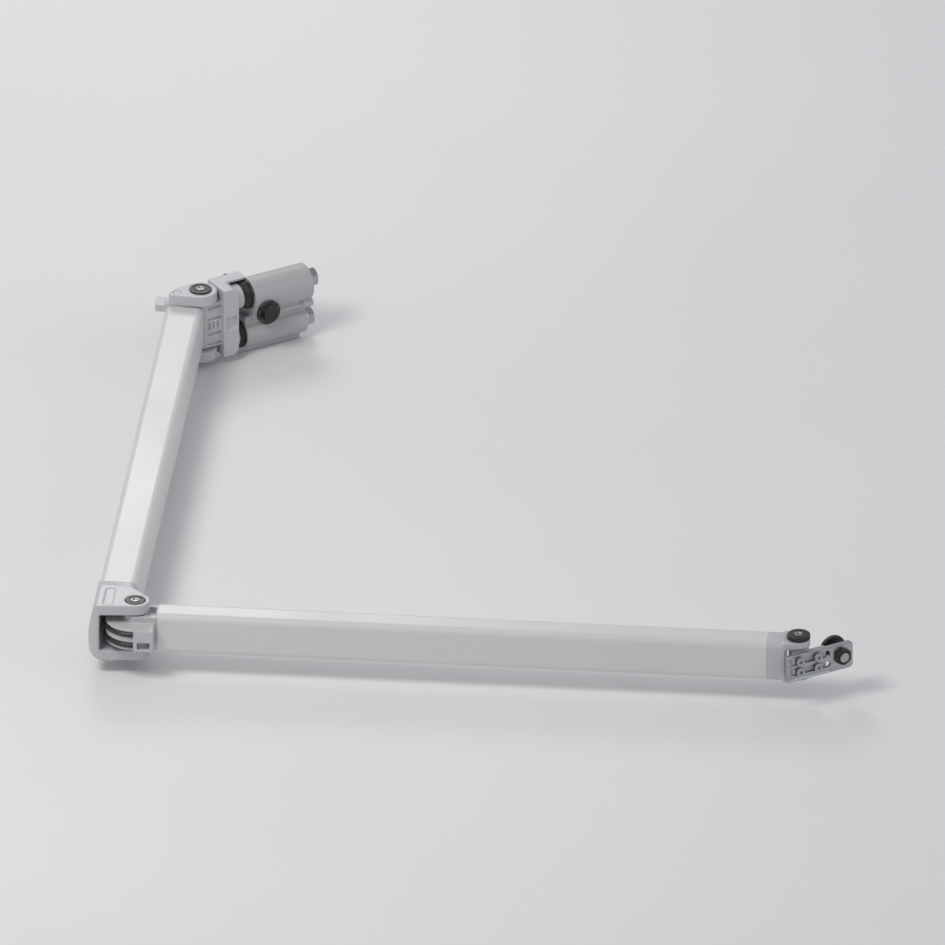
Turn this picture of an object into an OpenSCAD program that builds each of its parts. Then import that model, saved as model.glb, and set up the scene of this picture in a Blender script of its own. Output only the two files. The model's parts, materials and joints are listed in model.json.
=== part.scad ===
// Folding gate arm: a bolted shoulder bracket, two hollow arms with a cable elbow, and a clamp plate.
// The origin is where the mounting bolt leaves the back face; -Y points away from the wall, +Z is up.

/* [Upper arm] */
// Distance along the upper arm between its two pivot pins
upper_len = 807; // [450:1:1100]
// Width of the upper tube, seen from above
upper_w = 46; // [42:0.5:50]
// Height of the upper tube
upper_h = 58; // [50:0.5:59]
// Corner radius of the upper tube
upper_r = 8; // [5:0.5:12]
// Heading of the upper arm, seen from above, in degrees
upper_dir = -126.2; // [-150:0.1:-100]
// How far the shoulder pin sits off the tube's centre line
shoulder_off = 18; // [16:0.5:20]
// How far the elbow pin sits off the upper tube's centre line
elbow_off = 27; // [25:0.5:32]

/* [Forearm] */
// Distance along the forearm between its two pivot pins
fore_len = 800; // [450:1:1100]
// Width of the forearm tube, seen from above
fore_w = 37; // [34:0.5:38]
// Height of the forearm tube
fore_h = 52; // [48:0.5:54]
// Corner radius of the forearm tube
fore_r = 8.5; // [5:0.5:12]
// Heading of the forearm, seen from above, in degrees
fore_dir = -35.7; // [-60:0.1:-20]
// How far the forearm's centre line sits outside its elbow pin
fore_off = 0; // [0:0.5:10]

/* [Walls and fits] */
// Wall of both tubes
tube_wall = 2.6; // [2:0.1:3.4]
// Gap on each side between a tube and the spigot inside it
spigot_gap = 0.2; // [0.1:0.05:0.4]
// Running gap between a pin and its bush, on the radius
pin_gap = 0.05; // [0.02:0.01:0.1]
// Gap between a bush flange and the fork beside it
side_gap = 0.3; // [0.2:0.05:0.6]

/* [Pivot pins] */
// Radius of the three pivot pins
pin_r = 6; // [5:0.25:6.5]
// Radius of the elbow pin's head
pin_head_r = 12.2; // [11:0.1:13]
// Thickness of the pin heads
pin_head_t = 2.4; // [1.5:0.1:3.5]
// Wall of the flanged bushes
bush_wall = 2; // [1.5:0.1:2.5]
// Thickness of the bush flanges
flange_t = 1.2; // [0.8:0.1:1.6]

/* [Shoulder] */
// Height of the shoulder fork over both lugs
shoulder_h = 89; // [80:1:100]
// Thickness of each shoulder lug
shoulder_lug = 13.5; // [10:0.5:16]
// Radius of the boss round the shoulder pin
shoulder_boss_r = 20; // [18:0.5:21]
// From the shoulder pin to the face that the upper tube butts on
shoulder_face = 16; // [15.5:0.5:20]
// From the mounting bolt to the shoulder pin, along the wall
pin_to_bolt = 80; // [76:1:90]
// From the shoulder pin back to the wall face
stand_off = 55; // [50:1:70]
// Height of the mounting bolt above the arms' centre height
bolt_z = 5; // [3:0.5:6]

/* [Barrels] */
// Radius of the upper barrel of the wall bracket
barrel_top_r = 22.5; // [20:0.5:24]
// Height of the upper barrel's axis above the arms' centre height
barrel_top_z = 20; // [19:0.5:22]
// Where the upper barrel starts, from the shoulder pin
barrel_top_x = 65; // [62:1:70]
// Length of the upper barrel
barrel_top_len = 80; // [70:1:110]
// Radius of the lower barrel of the wall bracket
barrel_low_r = 17.5; // [16:0.5:19]
// Depth of the lower barrel's axis below the arms' centre height
barrel_low_z = -30; // [-34:0.5:-28]
// Where the lower barrel starts, from the shoulder pin
barrel_low_x = 58; // [56:1:62]
// Length of the lower barrel
barrel_low_len = 84; // [74:1:114]
// Radius of the long bolts through the barrels
block_bolt_r = 7; // [6:0.25:7.5]
// Across flats of the long bolts
block_bolt_af = 21; // [18:1:24]

/* [Elbow] */
// Height of the elbow fork over both lugs
elbow_h = 73; // [68:1:84]
// Thickness of each elbow lug
elbow_lug = 13; // [8:0.5:14]
// Radius of the boss round the elbow pin
elbow_boss_r = 17.5; // [15:0.5:18.5]
// Thickness of the elbow fork's side wall
elbow_wall = 8.5; // [6:0.5:9]
// Radius of the drum that the cables wrap
drum_r = 35.5; // [32:0.5:36]
// Diameter of each cable
cable_d = 6.5; // [4:0.5:7]
// Distance between the two cables
cable_gap = 14; // [10:0.5:18]

/* [Wrist] */
// Radius of the boss round the wrist pin
wrist_boss_r = 14; // [12:0.5:15]
// Thickness of each wrist lug
wrist_lug = 9; // [7:0.5:10]
// Height of the eye between the wrist lugs
eye_h = 30; // [26:1:32]

/* [Front plate] */
// Length of the front plate
plate_len = 92; // [88:1:120]
// Height of the front plate
plate_h = 35; // [32:1:40]
// Thickness of the front plate
plate_t = 5; // [4:0.5:8]
// Radius of the rail bolt
rail_bolt_r = 6; // [5:0.25:6]
// Room for the rail's lip behind the plate
rail_gap = 15; // [10:0.5:18]

/* [Hidden] */
$fn = 64;
cut = 1;

// places of the pivots, seen from above
arm_z = -bolt_z;
shoulder = [-pin_to_bolt, -stand_off];
elbow = shoulder + turned([upper_len, elbow_off - shoulder_off], upper_dir);
wrist = elbow + turned([fore_len, -fore_off], fore_dir);

// fits shared by the three pivots
bush_r = pin_r + bush_wall;
flange_r = pin_r + 5;
boss_step = 3;
boss_step_r = 5.5;
groove_r = pin_r - 0.7;
groove_t = 1.3;
clip_r = 9.5;
tail = 3;

// shoulder
fork_gap = shoulder_h / 2 - shoulder_lug;
eye_half = fork_gap - side_gap - flange_t;
eye_r = bush_r + 4.5;
pocket_r = eye_r + 1;
body_x = shoulder_boss_r + 1.6;
body_end = body_x + 21.4;
body_y = 19;
bolt_up = 3;
collar_r = 15;
spacer_top_t = 12;
spacer_low_t = 8;
barrel_low_y = 4;
thread_depth = 13;
washer_t = 3.5;
rear_y = 21;
rear_t = 3;
tab_out = stand_off - shoulder_off - upper_w / 2 - 1;
tab_t = 9;

// wall bracket
bolt_bore = block_bolt_r + 0.3;
mount_r = 6;
mount_af = 19;
mount_head = 7.5;
mount_face = -(barrel_top_r + 0.5);
mount_washer_t = 3;
mount_tail = 25;
foot_z = barrel_low_z - barrel_low_r - 6;
foot_t = 7;
back_t = 6;
web_low = -3;
web_top = 14;

// tubes and what is inside the upper one
upper_start = shoulder_face;
elbow_face = 60;
side_out = 5.5;
upper_end = upper_len - elbow_face;
fore_start = 28;
wrist_face = 37;
fore_end = fore_len - wrist_face;
spigot_len = 55;
spigot_wall = 3.5;
rivet_r = 2.4;
rivet_head_r = 4.8;
rivet_head_t = 1.6;
cable_y = elbow_off - drum_r;
plug_len = 15;
wire_r = 1.5;
coil_r = 8.5;
plug_r = (coil_r - wire_r) * cos(22.5) - 0.1;
yoke_x = upper_len - 190;
yoke_t = 16;
spring_len = 300;
spring_pitch = 10;
spring_end = yoke_x - 3;
spring_start = spring_end - spring_len;
plate_x = upper_start + spigot_len;
anchor_t = 5;
rod_r = 4;

// elbow
lug_top = elbow_h / 2;
lug_low = lug_top - elbow_lug;
hub_half = lug_low - side_gap - flange_t;
hub_r = bush_r + 7;
side_w = -elbow_off - upper_w / 2;
side_y = side_w - side_out;
front_x = elbow_boss_r + 4;
collar_front = -(drum_r + cable_d / 2 + 1.8);
head_sink = 2;
anchor_out = drum_r + 4;

// wrist
wrist_low = eye_h / 2 + flange_t + side_gap;
wrist_top = wrist_low + wrist_lug;
collar_end = -wrist_boss_r - 1;
plate_z = -3;
plate_front = -19.7;
plate_back = plate_front + plate_t;
plate_left = -28;
nut_x = plate_left + plate_len - 15.4;
nut_z = plate_z + 1;
nut_af = 19;
nut_t = 6;
rail_head_r = 17;
rail_head_t = 5;
slot_r = 4.25;
slot_rows = [plate_z + 7.5, plate_z - 6];
screw_x = [-9.5, 15.5];
screw_r = 3;
screw_head_r = 5.5;
screw_head_t = 3.3;
panel_depth = 1;

function turned(p, a) = [p[0] * cos(a) - p[1] * sin(a), p[0] * sin(a) + p[1] * cos(a)];
function rim(c, a) = [c[0] + c[2] * cos(a), c[1] + c[2] * sin(a)];
function edge_dir(a, b) = atan2(b[1] - a[1], b[0] - a[0])
    - acos((a[2] - b[2]) / norm([b[0] - a[0], b[1] - a[1]]));

// A belt drawn tight round circles [x, y, r] that are listed anticlockwise
module belt(rounds) {
    n = len(rounds);
    polygon([
        for (i = [0:n - 1])
            let (a = rounds[i], b = rounds[(i + 1) % n], t = edge_dir(a, b))
                each [rim(a, t), rim(b, t)]
    ]);
    for (c = rounds) translate([c[0], c[1]]) circle(r = c[2]);
}

module rounded(w, h, r) {
    x = w / 2 - r;
    y = h / 2 - r;
    belt([[-x, -y, r], [x, -y, r], [x, y, r], [-x, y, r]]);
}

module rod(r, z0, z1) translate([0, 0, z0]) cylinder(r = r, h = z1 - z0);
module along_x(x0, x1) translate([x0, 0, 0]) rotate([90, 0, 90]) linear_extrude(x1 - x0) children();
module along_y(y0, y1) translate([0, y1, 0]) rotate([90, 0, 0]) linear_extrude(y1 - y0) children();
module block(x0, x1, y0, y1, z0, z1)
    translate([x0, y0, z0]) cube([x1 - x0, y1 - y0, z1 - z0]);
module both_ways() {
    children();
    mirror([0, 0, 1]) children();
}

// frames: pin centre with wall axes, upper tube axis, elbow pin on the upper arm, elbow pin on the forearm
module at_shoulder() translate([shoulder[0], shoulder[1], arm_z]) children();
module at_upper() at_shoulder() rotate([0, 0, upper_dir]) translate([0, -shoulder_off, 0]) children();
module at_elbow() translate([elbow[0], elbow[1], arm_z]) rotate([0, 0, upper_dir]) children();
module at_fore() translate([elbow[0], elbow[1], arm_z]) rotate([0, 0, fore_dir]) children();
module at_wrist() translate([wrist[0], wrist[1], arm_z]) children();
module at_wrist_fork() at_fore() translate([fore_len, -fore_off, 0]) children();

// ---------- parts that repeat ----------

// A headed pivot pin whose head sits on seat_z, with a groove for its clip below low_z
module pivot_pin(seat_z, low_z, head_r, head_t) {
    difference() {
        rod(pin_r, low_z - groove_t - tail, seat_z);
        difference() {
            rod(pin_r + cut, low_z - groove_t, low_z);
            rod(groove_r, low_z - groove_t - cut, low_z + cut);
        }
    }
    rod(head_r, seat_z, seat_z + head_t - 1);
    translate([0, 0, seat_z + head_t - 1]) cylinder(r1 = head_r, r2 = head_r - 1.2, h = 0.6);
    difference() {
        rod(boss_step_r, seat_z, seat_z + head_t);
        rod(boss_step_r - 1.8, seat_z + head_t - 1.2, seat_z + head_t + cut);
    }
}

// The split ring in a pin's groove
module pin_clip(low_z) difference() {
    rod(clip_r, low_z - groove_t, low_z);
    rod(groove_r, low_z - groove_t - cut, low_z + cut);
    block(0, clip_r + cut, -2, 2, low_z - groove_t - cut, low_z + cut);
}

// Two flanged bushes pressed into an eye that is 2 x half high
module bush_pair(half, sleeve) both_ways() difference() {
    union() {
        rod(bush_r, half - sleeve, half);
        rod(flange_r, half, half + flange_t);
    }
    rod(pin_r + pin_gap, half - sleeve - cut, half + flange_t + cut);
}

// A blind rivet through the underside of a tube, its head outside
module rivet(outer) translate([0, 0, -outer]) {
    rod(rivet_r, 0, tube_wall + spigot_gap + spigot_wall + 1.5);
    rod(rivet_head_r, -rivet_head_t, 0);
}

module tube_section(w, h, r) difference() {
    rounded(w, h, r);
    rounded(w - 2 * tube_wall, h - 2 * tube_wall, r - tube_wall);
}

module spigot_section(w, h, r) {
    out = tube_wall + spigot_gap;
    rounded(w - 2 * out, h - 2 * out, r - out);
}

module spigot_hollow(w, h) {
    out = tube_wall + spigot_gap + spigot_wall;
    square([w - 2 * out, h - 2 * out], center = true);
}

module hex(af, x0, x1) along_x(x0, x1) circle(d = af / cos(30), $fn = 6);

// ---------- bracket on the wall ----------

module ring_pocket(r0, r1, a0, a1) intersection() {
    difference() {
        circle(r = r1);
        circle(r = r0);
    }
    polygon([[0, 0], for (a = [a0:(a1 - a0) / 2:a1]) 2 * r1 * [cos(a), sin(a)]]);
}

module wall_bracket() color("gainsboro") at_shoulder() difference() {
    union() {
        along_x(barrel_top_x, barrel_top_x + barrel_top_len) {
            translate([0, barrel_top_z]) circle(r = barrel_top_r);
        }
        along_x(barrel_top_x, barrel_low_x + barrel_low_len) {
            translate([-7, web_low - 3]) square([18, barrel_top_z - web_low]);
            translate([0, web_low]) square([stand_off, web_top - web_low]);
            translate([-12, -3.5]) circle(r = 3.2);
        }
        along_x(barrel_top_x + barrel_top_len - 12, barrel_top_x + barrel_top_len + 2)
            translate([-13, -2.5]) circle(r = 5);
        along_x(barrel_low_x - 8, barrel_low_x + barrel_low_len - 5)
            translate([-1, foot_z]) square([stand_off + 1, foot_t]);
        along_x(barrel_low_x, barrel_low_x + barrel_low_len) {
            translate([barrel_low_y, barrel_low_z]) circle(r = barrel_low_r);
            translate([-6, barrel_low_z]) square([16, web_low - 2 - barrel_low_z]);
            translate([stand_off - back_t, foot_z]) square([back_t, web_top - foot_z]);
        }
        translate([pin_to_bolt, 0, bolt_z]) rotate([90, 0, 0]) cylinder(r = 15, h = -mount_face);
    }
    along_x(0, barrel_top_x + barrel_top_len + cut) {
        translate([0, barrel_top_z + bolt_up]) circle(r = bolt_bore);
        translate([barrel_low_y, barrel_low_z]) circle(r = bolt_bore);
        translate([0, barrel_top_z]) ring_pocket(block_bolt_r + 6.5, barrel_top_r - 4, 25, 155);
    }
    translate([pin_to_bolt, stand_off + cut, bolt_z]) rotate([90, 0, 0])
        cylinder(r = mount_r + 0.2, h = stand_off + barrel_top_r + 10);
}

module spacer(x0, x1, y, z, r0, r1) translate([0, y, z]) difference() {
    translate([x0, 0, 0]) rotate([0, 90, 0]) union() {
        cylinder(r1 = r0, r2 = r1, h = (x1 - x0) * 0.6);
        translate([0, 0, (x1 - x0) * 0.6]) cylinder(r = r1 - 1, h = (x1 - x0) * 0.15);
        translate([0, 0, (x1 - x0) * 0.75]) cylinder(r = r1, h = (x1 - x0) * 0.25);
    }
    translate([x0 - cut, 0, 0]) rotate([0, 90, 0]) cylinder(r = bolt_bore, h = x1 - x0 + 2 * cut);
}

module upper_spacer() color("dimgray") at_shoulder()
    spacer(barrel_top_x - spacer_top_t, barrel_top_x, 0, barrel_top_z + bolt_up, collar_r, collar_r + 2.7);

module lower_spacer() color("dimgray") at_shoulder()
    spacer(barrel_low_x - spacer_low_t, barrel_low_x, barrel_low_y, barrel_low_z,
        collar_r - 1, collar_r + 1);

module shoulder_block() color("lightgray") at_shoulder() difference() {
    union() {
        rod(eye_r, -eye_half, eye_half);
        block(0, body_x + 2, -eye_r, eye_r, -eye_half, eye_half);
        along_y(-body_y, body_y) belt([
            [body_x + 2, 2 - shoulder_h / 2, 2],
            [body_end - 10, 10 - shoulder_h / 2, 10],
            [body_end - 10, shoulder_h / 2 - 10, 10],
            [body_x + 2, shoulder_h / 2 - 2, 2]
        ]);
        along_x(body_end - 12, barrel_top_x - spacer_top_t) translate([0, barrel_top_z + bolt_up])
            circle(r = collar_r);
        along_x(body_end - 8, barrel_low_x - spacer_low_t) translate([barrel_low_y, barrel_low_z])
            circle(r = collar_r - 1);
        block(body_end - 4, body_end + 5, -5, 5, barrel_low_z + 10, barrel_top_z - 10);
        block(body_x, barrel_top_x - 0.5, rear_y - rear_t, rear_y, 0, shoulder_h / 2);
        block(body_x, barrel_low_x - spacer_low_t, body_y - 2, rear_y, -shoulder_h / 2 + 6, 0.5);
        block(body_x, body_end, body_y - 2, rear_y, -shoulder_h / 2 + 6, shoulder_h / 2);
        block(body_x + 4, barrel_top_x - 0.5, 3, rear_y, shoulder_h / 2 - rear_t, shoulder_h / 2);
    }
    rod(bush_r, -eye_half - cut, eye_half + cut);
    along_x(barrel_top_x - spacer_top_t - thread_depth, barrel_top_x)
        translate([0, barrel_top_z + bolt_up]) circle(r = block_bolt_r);
    along_x(barrel_low_x - spacer_low_t - thread_depth, barrel_low_x)
        translate([barrel_low_y, barrel_low_z]) circle(r = block_bolt_r);
    along_y(-body_y - cut, -body_y + 3) belt([
        [body_x + 6, -6, 2], [body_end - 5, -6, 2], [body_end - 5, 6, 2], [body_x + 6, 6, 2]
    ]);
    for (z = [23, 8, -12, -25]) block(3, body_x, -eye_r - cut, -eye_r + 3, z - 1.5, z + 1.5);
    for (x = [4, 10, 16]) block(x, x + 2.5, -eye_r - cut, -eye_r + 3, -6, 4);
}

module block_bolt(x0, x1, y, z) translate([0, y, z]) {
    along_x(x0, x1 + washer_t) circle(r = block_bolt_r);
    intersection() {
        hex(block_bolt_af, x1 + washer_t, x1 + washer_t + 9);
        translate([x1 + washer_t, 0, 0]) rotate([0, 90, 0])
            cylinder(r1 = block_bolt_af * 0.66, r2 = block_bolt_af * 0.5, h = 9);
    }
}

module block_bolts() color("silver") at_shoulder() {
    block_bolt(barrel_top_x - spacer_top_t - thread_depth + 1, barrel_top_x + barrel_top_len,
        0, barrel_top_z + bolt_up);
    block_bolt(barrel_low_x - spacer_low_t - thread_depth + 1, barrel_low_x + barrel_low_len,
        barrel_low_y, barrel_low_z);
}

module washer_on(x, y, z, r) translate([0, y, z]) along_x(x, x + washer_t) difference() {
    circle(r = r);
    circle(r = bolt_bore);
}

module block_bolt_washers() color("darkgray") at_shoulder() {
    washer_on(barrel_top_x + barrel_top_len, 0, barrel_top_z + bolt_up, block_bolt_r + 6.5);
    washer_on(barrel_low_x + barrel_low_len, barrel_low_y, barrel_low_z, block_bolt_r + 6);
}

module mounting_bolt() color("silver") translate([0, -stand_off, 0]) rotate([0, 0, -90]) {
    seat = -mount_face + mount_washer_t;
    along_x(-stand_off - 0.5, seat) circle(r = mount_r - 0.3);
    along_x(-stand_off - mount_tail - 0.5, -stand_off - 0.5) circle(r = mount_r);
    difference() {
        intersection() {
            hex(mount_af, seat, seat + mount_head);
            translate([seat, 0, 0]) rotate([0, 90, 0])
                cylinder(r1 = mount_af * 0.66, r2 = mount_af * 0.5, h = mount_head);
        }
        along_x(seat + mount_head - 1, seat + mount_head + cut) circle(r = mount_af * 0.36);
    }
}

module mounting_washer() color("dimgray") translate([0, -stand_off, 0]) rotate([0, 0, -90])
    along_x(-mount_face, -mount_face + mount_washer_t) difference() {
        circle(r = 15.5);
        circle(r = mount_r + 0.2);
    }

module shoulder_bushes() color("dimgray") at_shoulder() bush_pair(eye_half, 14);

// ---------- upper arm ----------

module shoulder_lug_shape() belt([
    [1, -upper_w / 2 + 13.5, 3],
    [shoulder_face - 3, -upper_w / 2 + 8, 4],
    [0, shoulder_off, shoulder_boss_r]
]);

module shoulder_fork() color("lightgray") at_upper() difference() {
    union() {
        both_ways() translate([0, 0, fork_gap]) linear_extrude(shoulder_lug) shoulder_lug_shape();
        translate([0, 0, -fork_gap - cut]) linear_extrude(2 * (fork_gap + cut)) difference() {
            translate([3, -upper_w / 2 + 0.5]) square([shoulder_face - 3, upper_w / 2 + 11]);
            translate([0, shoulder_off]) circle(r = pocket_r);
        }
        along_x(shoulder_face - 2, upper_start + spigot_len) spigot_section(upper_w, upper_h, upper_r);
        translate([0, 0, upper_h / 2 - tab_t]) linear_extrude(tab_t) belt([
            [-4, -upper_w / 2 - tab_out + 4, 4],
            [shoulder_face - 5, -upper_w / 2 - tab_out + 4, 4],
            [shoulder_face - 5, -upper_w / 2 + 9, 4],
            [2, -upper_w / 2 + 15, 4]
        ]);
    }
    along_x(shoulder_face + 6, upper_start + spigot_len + cut) spigot_hollow(upper_w, upper_h);
    translate([0, shoulder_off, 0]) rod(pin_r, -shoulder_h, shoulder_h);
    upper_rivet_places() rod(rivet_r, -upper_h, 0);
    both_ways() translate([8, -upper_w / 2 + 13.5, shoulder_h / 2 - 1.5]) linear_extrude(2 + cut)
        rounded(10, 10, 2);
}

module shoulder_pin() color("silver") at_shoulder() pivot_pin(shoulder_h / 2, -shoulder_h / 2, 13.5, 2.6);
module shoulder_pin_clip() color("dimgray") at_shoulder() rotate([0, 0, 60]) pin_clip(-shoulder_h / 2);

module upper_rivet_places()
    for (x = [upper_start + 20, upper_start + 42, upper_end - 42, upper_end - 20])
        translate([x, 0, 0]) children();

module upper_tube() color("whitesmoke") at_upper() difference() {
    along_x(upper_start, upper_end) tube_section(upper_w, upper_h, upper_r);
    upper_rivet_places() rod(rivet_r, -upper_h, 0);
}

module upper_rivets() color("silver") at_upper() upper_rivet_places() rivet(upper_h / 2);

module anchor_plate() color("darkgray") at_upper() difference() {
    along_x(plate_x, plate_x + anchor_t) spigot_section(upper_w, upper_h, upper_r);
    along_x(plate_x - cut, plate_x + anchor_t + cut) translate([cable_y, 0]) circle(r = rod_r);
}

module tension_rod() color("silver") at_upper() translate([0, cable_y, 0]) {
    along_x(plate_x - 14, spring_start - 2) circle(r = rod_r);
    along_x(spring_start - 3, spring_start + plug_len) circle(r = plug_r);
}

module rod_nut() color("silver") at_upper() translate([0, cable_y, 0]) difference() {
    hex(11, plate_x - 8, plate_x);
    along_x(plate_x - 9, plate_x + cut) circle(r = rod_r);
}

// A coil spring: a six-sided wire swept along a helix
function coil_at(a) = [spring_start + 3 + a / 360 * spring_pitch, coil_r * cos(a), coil_r * sin(a)];
function wire_ring(a, r) = [
    for (b = [0:60:300])
        coil_at(a) + [r * sin(b), r * cos(b) * cos(a), r * cos(b) * sin(a)]
];

module tension_spring() color("dimgray") at_upper() translate([0, cable_y, 0]) {
    step = 45;
    turns = floor((spring_len - 6) / spring_pitch);
    count = turns * 360 / step;
    points = [for (i = [0:count]) each wire_ring(i * step, wire_r)];
    sides = [
        for (i = [0:count - 1], j = [0:5])
            let (k = (j + 1) % 6)
                [i * 6 + j, i * 6 + k, (i + 1) * 6 + k, (i + 1) * 6 + j]
    ];
    caps = [[for (j = [5:-1:0]) j], [for (j = [0:5]) count * 6 + j]];
    polyhedron(points, concat(sides, caps), convexity = 10);
}

module cable_yoke() color("darkgray") at_upper() translate([0, cable_y, 0]) difference() {
    union() {
        along_x(yoke_x, yoke_x + yoke_t) rounded(16, cable_gap + 16, 3);
        along_x(yoke_x - plug_len - 3, yoke_x + 1) circle(r = plug_r);
        for (s = [-1, 1]) along_x(yoke_x + yoke_t - 1, yoke_x + yoke_t + 8)
            translate([0, s * cable_gap / 2]) circle(r = cable_d / 2 + 1.6);
    }
    for (s = [-1, 1]) along_x(yoke_x + 4, yoke_x + yoke_t + 9)
        translate([0, s * cable_gap / 2]) circle(r = cable_d / 2);
}

module cable_runs() color("black") at_upper() translate([0, cable_y, 0])
    for (s = [-1, 1]) along_x(yoke_x + 4, upper_len - 0.3)
        translate([0, s * cable_gap / 2]) circle(r = cable_d / 2);

module elbow_lug_shape() belt([
    [-elbow_face + 2, side_w + 2, 2],
    [-elbow_face + 14, side_y + 3, 3],
    [front_x - 12, side_y + 12, 12],
    [0, 0, elbow_boss_r],
    [-elbow_face + 7.4, -elbow_off - 1.7, 2]
]);

// The three outlines that the elbow casting keeps inside: from above, from the side and from the end
module elbow_envelope() {
    intersection() {
        along_y(side_y - cut, elbow_boss_r + cut) polygon([
            [-elbow_face, -upper_h / 2], [-elbow_face + 24, -lug_top], [front_x + cut, -lug_top],
            [front_x + cut, lug_top], [-elbow_face + 24, lug_top], [-elbow_face, upper_h / 2]
        ]);
        along_x(-elbow_face - cut, front_x + 2 * cut) belt([
            [side_y + 19, -lug_top + 19, 19], [elbow_boss_r, -lug_top + 1, 1],
            [elbow_boss_r, lug_top - 1, 1], [side_w + 7, lug_top - 7, 7], [side_y + 26, -2, 26]
        ]);
    }
}

module elbow_fork() color("lightgray") at_elbow() difference() {
    union() {
        intersection() {
            elbow_envelope();
            union() {
                both_ways() translate([0, 0, lug_low]) linear_extrude(elbow_lug) elbow_lug_shape();
                translate([0, 0, -lug_top]) linear_extrude(elbow_h) difference() {
                    elbow_lug_shape();
                    translate([-100, side_w + elbow_wall]) square([200, 100]);
                }
            }
        }
        along_x(-elbow_face, collar_front) translate([-elbow_off, 0]) rounded(upper_w, upper_h, upper_r);
        along_x(-elbow_face - spigot_len, -elbow_face + 2) translate([-elbow_off, 0])
            spigot_section(upper_w, upper_h, upper_r);
        translate([12, -elbow_off - 1, 0]) rod(6, -lug_top - 3, -lug_top + 1);
    }
    along_x(-elbow_face - spigot_len - cut, -elbow_face + 6) translate([-elbow_off, 0])
        spigot_hollow(upper_w, upper_h);
    along_x(-elbow_face, collar_front + cut) translate([-drum_r, 0])
        square([cable_d + 8, cable_gap + cable_d + 8], center = true);
    rod(pin_r, -elbow_h, elbow_h);
    rod(pin_head_r + 0.4, lug_top - head_sink, elbow_h);
    translate([0, -elbow_off, 0]) elbow_rivet_holes();
    translate([-6, -elbow_off - 5, lug_top - 1]) linear_extrude(1 + cut) rounded(44, 12, 3);
    translate([front_x - 12, side_y + 12, -6]) rotate([0, 0, -50]) translate([11, 0, 0])
        rotate([0, 90, 0]) linear_extrude(3) rounded(26, 4.5, 2);
}

module elbow_rivet_holes()
    for (x = [-elbow_face - 42, -elbow_face - 20]) translate([x, 0, 0]) rod(rivet_r, -upper_h, 0);

module elbow_pin() color("silver") at_elbow() pivot_pin(lug_top - head_sink, -lug_top, pin_head_r, pin_head_t);
module elbow_pin_clip() color("dimgray") at_elbow() rotate([0, 0, 30]) pin_clip(-lug_top);

// ---------- forearm ----------

module cable_groove() both_ways() translate([0, 0, cable_gap / 2]) rotate_extrude()
    translate([drum_r, 0]) circle(r = cable_d / 2 + 0.02);

module elbow_knuckle() color("lightgray") at_fore() difference() {
    union() {
        rod(hub_r, -hub_half, hub_half);
        intersection() {
            difference() {
                rod(drum_r + 0.5, -cable_gap / 2 - cable_d, cable_gap / 2 + cable_d);
                cable_groove();
            }
            block(-60, 2, -60, 60, -60, 60);
        }
        block(-4, fore_start, -fore_off - fore_w / 2 + 1.5, -fore_off + fore_w / 2 - 1.5,
            -hub_half, hub_half);
        block(1, fore_start - 3, -anchor_out, -fore_off, -cable_gap / 2 - 7, cable_gap / 2 + 7);
        along_x(fore_start - 1, fore_start + spigot_len) translate([-fore_off, 0])
            spigot_section(fore_w, fore_h, fore_r);
    }
    along_x(fore_start + 6, fore_start + spigot_len + cut) translate([-fore_off, 0])
        spigot_hollow(fore_w, fore_h);
    rod(bush_r, -elbow_h, elbow_h);
    block(6, fore_start - 7, -anchor_out - cut, -anchor_out + 7, -cable_gap / 2 - 4, -2);
    both_ways() intersection() {
        translate([0, 0, cable_gap / 2]) rotate_extrude() translate([drum_r, 0])
            circle(r = cable_d / 2);
        block(0, 20, -60, 0, -20, 20);
    }
    fore_rivet_places() rod(rivet_r, -fore_h, 0);
    both_ways() block(hub_r + 1, fore_start - 3, -fore_off - 11, -fore_off + 11, hub_half - 5, 60);
}

module elbow_bushes() color("dimgray") at_fore() bush_pair(hub_half, 12);

// The stretch of both cables that lies on the drum, from the upper arm round to their anchors
module drum_cables() color("black") at_elbow() both_ways() translate([0, 0, cable_gap / 2])
    rotate([0, 0, -90]) rotate_extrude(angle = 100) translate([drum_r, 0])
        circle(r = cable_d / 2);

module fore_rivet_places()
    for (x = [fore_start + 20, fore_start + 42, fore_end - 32, fore_end - 14])
        translate([x, -fore_off, 0]) children();

module fore_tube() color("whitesmoke") at_fore() difference() {
    along_x(fore_start, fore_end) translate([-fore_off, 0]) tube_section(fore_w, fore_h, fore_r);
    fore_rivet_places() rod(rivet_r, -fore_h, 0);
}

module fore_rivets() color("silver") at_fore() fore_rivet_places() rivet(fore_h / 2);

module wrist_lug_shape() belt([
    [collar_end - 2, -fore_w / 2 + 2, 2], [0, 0, wrist_boss_r], [collar_end - 2, fore_w / 2 - 2, 2]
]);

module wrist_fork() color("lightgray") at_wrist_fork() difference() {
    union() {
        along_x(-wrist_face, collar_end) rounded(fore_w, fore_h, fore_r);
        along_x(-wrist_face - 45, -wrist_face + 2) spigot_section(fore_w, fore_h, fore_r);
        both_ways() translate([0, 0, wrist_low]) linear_extrude(wrist_lug) wrist_lug_shape();
    }
    along_x(-wrist_face - 46, -wrist_face + 4) spigot_hollow(fore_w, fore_h);
    rod(pin_r, -fore_h, fore_h);
    rod(eye_r + 1, -wrist_low, wrist_low);
    translate([-fore_len, fore_off, 0]) fore_rivet_places() rod(rivet_r, -fore_h, 0);
}

module wrist_pin() color("silver") at_wrist() pivot_pin(wrist_top, -wrist_top, wrist_boss_r, 6);
module wrist_pin_clip() color("dimgray") at_wrist() rotate([0, 0, 80]) pin_clip(-wrist_top);

// ---------- front plate ----------

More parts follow.
